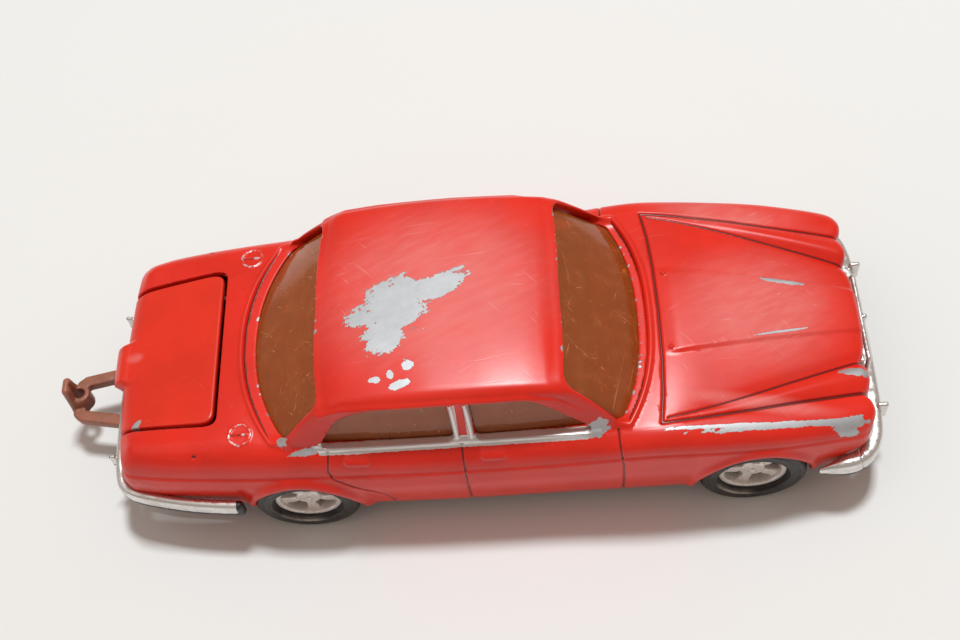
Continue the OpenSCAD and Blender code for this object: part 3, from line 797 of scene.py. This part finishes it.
def with_fine_detail(s, solid, form):
    """Bonnet and door grooves, handles, filler caps, a pit in the rear wing and a screen washer jet."""
    x, y, z = s.x, s.y, s.z
    on_top, on_side = DECK_Z - z, FLANK_Y - y
    solid = engraved(solid, form, np.maximum(nearest(x, y, [BONNET_EDGE, BONNET_REAR]), on_top), 0.17)
    solid = engraved(solid, form, np.maximum(path_distance(x, y, BONNET_VEE), on_top), 0.12)
    solid = engraved(solid, np.minimum(form, 0), np.maximum(nearest(x, z, DOOR_LINES), on_side), 0.13)
    for handle_x in HANDLES_X:
        line = [(handle_x, HANDLE_Z), (handle_x + HANDLE_LENGTH, HANDLE_Z)]
        handle = np.maximum(path_distance(x, z, line), on_side)
        solid = raised(solid, form, handle * 0.8, 0.3, 0.25)
    ring = np.abs(np.hypot(x - FILLER_X, y - FILLER_Y) - FILLER_R)
    solid = raised(solid, form, np.maximum(ring, on_top), 0.1, 0.06)
    slot_line = path_distance(x, y, [(FILLER_X - 0.85, FILLER_Y), (FILLER_X + 0.1, FILLER_Y)])
    solid = engraved(solid, form, np.maximum(slot_line, on_top), 0.09)
    bar_line = path_distance(x, y, [(FILLER_X + 0.2, FILLER_Y), (FILLER_X + 0.8, FILLER_Y)])
    solid = raised(solid, form, np.maximum(bar_line, on_top), 0.12, 0.06)
    pit = np.hypot((x + 9.3) * 0.5, y - 11.5)
    solid = engraved(solid, form, np.maximum(pit, on_top), 0.15)
    washer = np.hypot(x - 35.9, y - 4.1)
    return raised(solid, form, np.maximum(washer, 12 - z), 0.2, 0.08)


def rivet_post(s):
    """The post inside the bonnet, with the rivet head that holds the base plate."""
    reach = np.hypot(s.x - POST_X, s.y)
    pillar = smooth_max(reach - 1.6, 3.6 - s.z, 0.1)
    pillar = np.maximum(pillar, s.z - 14)
    head = smooth_max(reach - 1.5, np.abs(s.z - 2.55) - 0.2, 0.15)
    rivet = np.maximum(reach - 1.05, np.abs(s.z - 3) - 0.9)
    return union(pillar, head, rivet).astype(np.float32)


def cast_body(s):
    """The body casting: shell, openings, engraved lines and cast detail."""
    x, y, z = s.x, s.y, s.z
    lower = lower_form(s)
    cabin = cabin_form(s)
    form = smooth_min(lower, cabin, 0.5)
    sill = curve(x, [(-18, 5.3), (-12, 4.4), (-6, 3.7), (0, 3.3), (36, 3.3), (49, 4.1), (54, 5.0)])
    solid = smooth_max(form, (sill - z).astype(np.float32), 0.4)
    cavity = smooth_min(lower + WALL, cabin + CABIN_WALL, 0.2)
    solid = smooth_max(solid, -cavity, 0.15)
    solid = with_windows(s, solid, form)
    solid = with_arches(s, solid, form, sill)
    solid = with_fine_detail(s, solid, form)
    boot = np.maximum(boot_plan(s, LID_GAP), 8.75 - z)
    solid = smooth_max(solid, -boot, 0.12)
    grille = convex(y, z, [(-9, 7.3), (5.2, 7.3), (5.0, 11.1), (-9, 11.1)], 0.6)
    bays = [np.hypot(y - bay_y, z - bay_z) - bay_r for bay_y, bay_z, bay_r in LAMP_BAYS]
    front = np.maximum(union(grille, *bays), 50 - x).astype(np.float32)
    solid = smooth_max(solid, -front, 0.12)
    return np.minimum(solid, rivet_post(s))


def silver_paint(points):
    """Where the window sills, the post between the doors and the filler caps are touched with silver."""
    x, y, z = points[:, 0], np.abs(points[:, 1]), points[:, 2]
    ends = blend_step(x, 1.8, 3.2) * blend_step(x, 28.8, 27.0)
    sill = blend_step(np.hypot(y - SILL_Y, z - 13.9), 0.75, 0.5) * ends
    post = np.minimum(np.abs(x - 15.5), np.abs(x - 16.85))
    post = blend_step(post, 0.36, 0.24) * (y > 9.8) * (z > 13.6) * (z < 19.3)
    ring = np.hypot(x - FILLER_X, y - FILLER_Y)
    bar_end = np.hypot((x - FILLER_X - 0.5) / 2, y - FILLER_Y)
    cap = blend_step(np.abs(ring - FILLER_R), 0.16, 0.08) + blend_step(bar_end, 0.22, 0.14)
    return np.maximum(np.maximum(sill, post), np.minimum(cap, 0.5) * (z > 12.5))


def make_body():
    s = Space((-19.4, 0, 2.2), (55, 14.9, 21.3), FINE)
    body = surface(s, cast_body(s))
    body["marks"]["silver"] = silver_paint(body["points"])
    make_piece("body_casting", body, BODY_PAINT, "chassis", ["body_shell"])


def make_lid():
    """The boot lid, a thin shell with two gooseneck arms under it that hook round the hinge pin."""
    s = Space((-19.4, 0, 8.8), (-3.6, 9.2, 14.6), FINE)
    form = lower_form(s, 1.0)
    solid = smooth_max(form, boot_plan(s, 0), 0.25)
    solid = smooth_max(solid, (9.0 - s.z).astype(np.float32), 0.1)
    solid = smooth_max(solid, -(form + WALL), 0.1)
    gooseneck = [(0, 0), (-2.45, -1.95), (-3.45, -1.1), (-3.6, 1.0)]
    arm = path_distance(s.x - HINGE_X, s.z - HINGE_Z, gooseneck) - 0.42
    boss = np.hypot(s.x - HINGE_X, s.z - HINGE_Z)
    arm = smooth_min(arm, boss - 0.82, 0.2)
    arm = np.maximum(np.maximum(arm, np.abs(s.y - 5.2) - 0.58), form + 0.4)
    solid = np.maximum(np.minimum(solid, arm), 0.41 - boss)
    make_piece("boot_casting", surface(s, solid), LID_PAINT, "boot", ["boot_lid"])


def make_glazing():
    """One moulding for all the windows, a skin just inside the cabin's form."""
    s = Space((-5, 0, 13.2), (34.5, 12.4, 21), FINE)
    cabin = cabin_form(s)
    solid = smooth_max(cabin + 0.52, -(cabin + 1.1), 0.1)
    solid = np.maximum(solid, 13.35 - s.z)
    make_piece("window_moulding", surface(s, solid), amber("amber_plastic"), "chassis",
               ["glazing"])


def bar(s, path, half, z, height, k=0.35):
    """A bumper bar: a path seen from above, given its thickness and height."""
    return smooth_max(path_distance(s.x, s.y, path) - half, np.abs(s.z - z) - height, k)


def smooth_path(points, count=30):
    """More points along a smooth line through the ones given."""
    t = np.linspace(0, len(points) - 1, count)
    return list(zip(*(curve(t, list(enumerate(values))).tolist() for values in zip(*points))))


def make_front_bumper():
    """Bumper bar with its overriders, grille and lamps, all one moulding."""
    s = Space((48.0, 0, 4.6), (56.6, 14.6, 11.8), FINER)
    path = smooth_path([(49.2, 13.75), (51.2, 13.4), (52.9, 12.9), (54.1, 11.8), (54.7, 10.2), (54.95, 8),
                        (55.05, 5), (55.1, 2), (55.1, 0)])
    thick = 0.22 + 0.6 * blend_step(s.x, 48.6, 52.5)
    solid = bar(s, path, thick, 6.2, 0.55 + 0.65 * blend_step(s.x, 48.6, 52.0), 0.7)
    seam = np.maximum(np.abs(s.x - 53.15 - 0.25 * (6.2 - s.z)) - 0.05, 12.2 - s.y)
    solid = smooth_max(solid, -np.maximum(seam, -0.09 - solid), 0.04)
    stay = box(s, (52.2, -8.5, 5.6), (55, 8.5, 7.0))
    backing = box(s, (52.2, -9.1, 4.9), (52.9, 9.1, 10.8))
    overrider = box(s, (55.2, 7.75, 5.7), (56.3, 8.3, 8.0), 0.25)
    frame_line = convex(s.y, s.z, [(-9, 7.5), (4.9, 7.5), (4.7, 10.9), (-9, 10.9)], 0.6)
    rim = np.hypot(frame_line, s.x - 54.55) - 0.26
    rib = rod(s, (54.5, 0, 7.5), (54.9, 0, 10.9), 0.28)
    slats = np.abs((s.z - 7.5 + 0.3) % 0.6 - 0.3) - 0.14
    slats = np.maximum(np.maximum(slats, np.abs(s.x - 53.9) - 0.3), frame_line)
    back = np.maximum(frame_line, np.abs(s.x - 53.2) - 0.35)
    solid = union(solid, stay, backing, overrider, rim, rib, slats, back)
    for y, z, r in LAMPS:
        across = np.hypot(s.y - y, s.z - z)
        lamp = smooth_max(across - r, np.abs(s.x - 53.2) - 0.9 + 0.18 * across ** 2, 0.15)
        solid = union(solid, lamp)
    bridge = box(s, (52.2, 9, 8.5), (52.9, 11, 10))
    material = plated("front_plating", black_level=0.95, low_edge=(5.7, 6.1))
    make_piece("front_bumper_plating", surface(s, union(solid, bridge)), material, "chassis",
               ["front_bumper"])


def make_rear_bumper():
    """Bumper bar with its overriders."""
    s = Space((-20.4, 0, 4.9), (-5.6, 14.6, 8.6), FINER)
    path = smooth_path([(-6.4, 13.9), (-8.5, 13.7), (-11.3, 13.3), (-14.5, 12.6), (-16.9, 11.85),
                        (-18.1, 10.9), (-18.5, 9.5), (-18.7, 7.3), (-18.8, 4), (-18.85, 0)])
    solid = bar(s, path, 0.5, 6.4, 1.05, 0.6)
    stay = box(s, (-18.8, -8.9, 5.7), (-18.25, 8.9, 7.0), 0.15)
    overrider = box(s, (-19.7, 7.85, 5.8), (-19, 8.2, 7.7), 0.15)
    material = plated("rear_plating", black_level=0.95, low_edge=(6.0, 6.4), black_ahead=-6.9)
    make_piece("rear_bumper_plating", surface(s, union(solid, stay, overrider)), material, "chassis",
               ["rear_bumper"])


# Distance of the tow eye behind the rear axle, and its radius
EYE_BACK = 24.1
EYE_R = 0.55


def make_hook():
    """Two arms that meet in an eye, with a flat horn standing behind it."""
    s = Space((-25.6, 0, 4.1), (-15.5, 3.9, 9.0), FINER)
    path = [(-16, 2.85), (-19.6, 2.8), (-23.8, 2.0), (-24.3, 1.6), (-24.3, 0)]
    solid = bar(s, path, 0.64, 4.93, 0.56, 0.3)
    reach = np.hypot(s.x + EYE_BACK, s.y)
    boss = smooth_max(reach - 1.05, np.abs(s.z - 5.5) - 1.08, 0.25)
    solid = smooth_min(solid, boss, 0.3)
    horn = np.maximum(np.abs(s.y) - 1.0 + 0.14 * (s.z - 5), 0)
    horn = np.hypot(horn, np.hypot(s.x + 24.75 + 0.05 * (s.z - 5), np.maximum(s.z - 8.1, 0)))
    horn = np.maximum(horn - 0.4, 4.6 - s.z)
    solid = smooth_min(solid, horn.astype(np.float32), 0.3)
    solid = smooth_max(solid, EYE_R - reach, 0.08)
    material = moulded("brick_plastic", (0.36, 0.125, 0.07), 0.35)
    make_piece("tow_hook_moulding", surface(s, solid), material, "chassis", ["tow_hook"])


SPOKES = 5
NOTCHES = 72
# How far the wheels are turned about their axles, in degrees: both on the left, then each on the right
LEFT_TURN = 10
WHEEL_TURN = {"front": 33, "rear": 18}


def wheel_surface():
    """A five-spoke wheel: barrel, rim, plate behind the spokes, hub and cap."""
    s = Space((-3.5, 10.2, AXLE_Z - 3.5), (3.5, HUB_FACE + 0.2, AXLE_Z + 3.5), FINER, mirror=False)
    dx, dz = s.x, s.z - AXLE_Z
    r = np.hypot(dx, dz)
    depth = s.y - HUB_FACE
    barrel = smooth_max(np.abs(r - 2.98) - 0.28, np.abs(depth + 1.2) - 1.18, 0.2)
    lip = np.hypot(r - 2.92, depth + 0.22) - 0.2
    plate = smooth_max(r - 2.9, np.abs(depth + 1.95) - 0.35, 0.1)
    solid = smooth_min(np.minimum(barrel, lip), plate, 0.1)
    for i in range(SPOKES):
        c, n = math.cos(2 * math.pi * i / SPOKES), math.sin(2 * math.pi * i / SPOKES)
        along, off = dx * c + dz * n, dz * c - dx * n
        face = depth + 0.42 + 0.12 * np.abs(along - 1.6)
        spoke = smooth_max(np.abs(off) - 0.34 - 0.09 * along, np.maximum(face, -1.8 - depth), 0.15)
        spoke = np.maximum(spoke, np.maximum(-along, along - 3.0))
        solid = smooth_min(solid, spoke.astype(np.float32), 0.12)
    hub = smooth_max(r - 1.2, depth + 0.35, 0.2)
    cap = np.hypot(r, np.maximum(depth + 0.5, 0)) - 0.45
    solid = smooth_min(solid, np.maximum(np.minimum(hub, cap), -1.8 - depth), 0.1)
    bore = np.maximum(r - 0.6, depth + 0.55)
    solid = np.maximum(solid, -bore)
    wheel = surface(s, solid, 0.006)
    # Painted shade: points far below the hub face are marked so the recess behind the spokes is darkened
    wheel["marks"]["deep"] = blend_step(wheel["points"][:, 1] - HUB_FACE, -1.05, -1.45)
    return wheel


def tyre_surface():
    """A tyre with notched shoulders, three grooves round the tread and a raised band on its outer wall."""
    t = Space((-5.3, TYRE_FACE - 3.5, AXLE_Z - 5.3), (5.3, TYRE_FACE + 0.2, AXLE_Z + 5.3), FINER,
              mirror=False)
    r = np.hypot(t.x, t.z - AXLE_Z)
    angle = np.arctan2(t.z - AXLE_Z, t.x)
    middle = TYRE_FACE - 1.65
    tyre = smooth_max(np.abs(r - 4.2) - 0.93, np.abs(t.y - middle) - 1.64 + 0.1 * (r - 4.0) ** 2, 0.7)
    turns = angle * (NOTCHES / (2 * math.pi)) + 0.9 * np.abs(t.y - middle)
    notch = np.abs(turns % 1 - 0.5) * r * (2 * math.pi / NOTCHES) - 0.08
    shoulder = np.maximum(4.86 - r, 0.95 - np.abs(t.y - middle))
    tyre = smooth_max(tyre, -np.maximum(np.maximum(notch, shoulder), -0.16 - tyre), 0.05)
    for groove_y in (-0.55, 0.0, 0.55):
        tyre = smooth_max(tyre, 0.12 - np.hypot(r - 5.13, t.y - middle - groove_y), 0.05)
    band = np.hypot(r - 3.58, t.y - TYRE_FACE + 0.16) - 0.2
    tyre = smooth_min(tyre, band.astype(np.float32), 0.12)
    tyre = smooth_max(tyre, (0.08 - np.hypot(r - 4.35, t.y - TYRE_FACE + 0.03)).astype(np.float32), 0.05)
    rubber = surface(t, tyre, 0.01)
    reach = np.hypot(rubber["points"][:, 0], rubber["points"][:, 2] - AXLE_Z)
    outer = rubber["points"][:, 1] > TYRE_FACE - 0.4
    bearing = np.degrees(np.arctan2(rubber["points"][:, 2] - AXLE_Z, rubber["points"][:, 0]))
    # The ring's plating is kept only in an arc near the bottom of the wheel, where it is a painted highlight
    highlight_arc = blend_step(np.abs(bearing + 90), 48, 22)
    rubber["marks"]["ring"] = blend_step(np.abs(reach - 3.5), 0.18, 0.06) * outer * highlight_arc
    return rubber


def make_wheels():
    wheel, rubber = wheel_surface(), tyre_surface()
    metal, black = wheel_metal("wheel_plating"), tyre_rubber("tyre_plastic")
    about = np.array((0, 0, AXLE_Z))
    for end, ahead in (("front", WHEELBASE), ("rear", 0)):
        body = end + "_wheels"
        for name, side, angle in (("left", 1, LEFT_TURN), ("right", -1, WHEEL_TURN[end])):
            hub = turned(wheel, about, angle, ahead, side)
            make_piece(f"hub_{end}_{name}", hub, metal, body, [f"wheel_{end}_{name}"])
            ring = turned(rubber, about, angle, ahead, side)
            make_piece(f"rubber_{end}_{name}", ring, black, body, [f"tyre_{end}_{name}"])


# ---------------------------------------------------------------- floor and surroundings
def make_floor():
    half = 1.5
    corners = [(-half, -half, 0), (half, -half, 0), (half, half, 0), (-half, half, 0)]
    data = bpy.data.meshes.new("floor")
    data.from_pydata(corners, [], [(0, 1, 2, 3)])
    s = Shader("floor_card")
    tone = s.mix(s.noise(60, 3), (0.83, 0.83, 0.81), (0.86, 0.86, 0.84))
    data.materials.append(s.finish(Base_Color=tone, Roughness=0.75, Normal=s.bump(s.noise(0.5, 3), 0.01)))
    floor = bpy.data.objects.new("floor", data)
    bpy.context.scene.collection.objects.link(floor)


def make_world(colour, strength):
    world = bpy.data.worlds.new("studio")
    world.use_nodes = True
    background = world.node_tree.nodes["Background"]
    background.inputs["Color"].default_value = (*colour, 1)
    background.inputs["Strength"].default_value = strength
    bpy.context.scene.world = world


# ---------------------------------------------------------------- the model
make_camera()
make_body()
make_lid()
make_glazing()
make_front_bumper()
make_rear_bumper()
make_hook()
make_wheels()
finish_node("interior_tub", moulded("brown_plastic", (0.16, 0.06, 0.025), 0.4))
finish_node("base_plate", moulded("black_plastic", (0.016, 0.015, 0.015), 0.38))
STEEL = wire("steel_wire")
for pin in ("front_axle", "rear_axle", "boot_hinge_pin"):
    finish_node(pin, STEEL)
make_floor()
area_light("window", at=(0.05, 0.13, 0.6), size=(0.09, 0.08), power=2.6, colour=(0.94, 1.0, 1.03))
area_light("fill", at=(-0.4, -0.05, 0.5), size=(0.5, 0.5), power=0.3, colour=(1.0, 0.98, 0.96))
make_world(colour=(1, 0.83, 0.73), strength=0.36)
bpy.context.scene.view_settings.view_transform = "Standard"
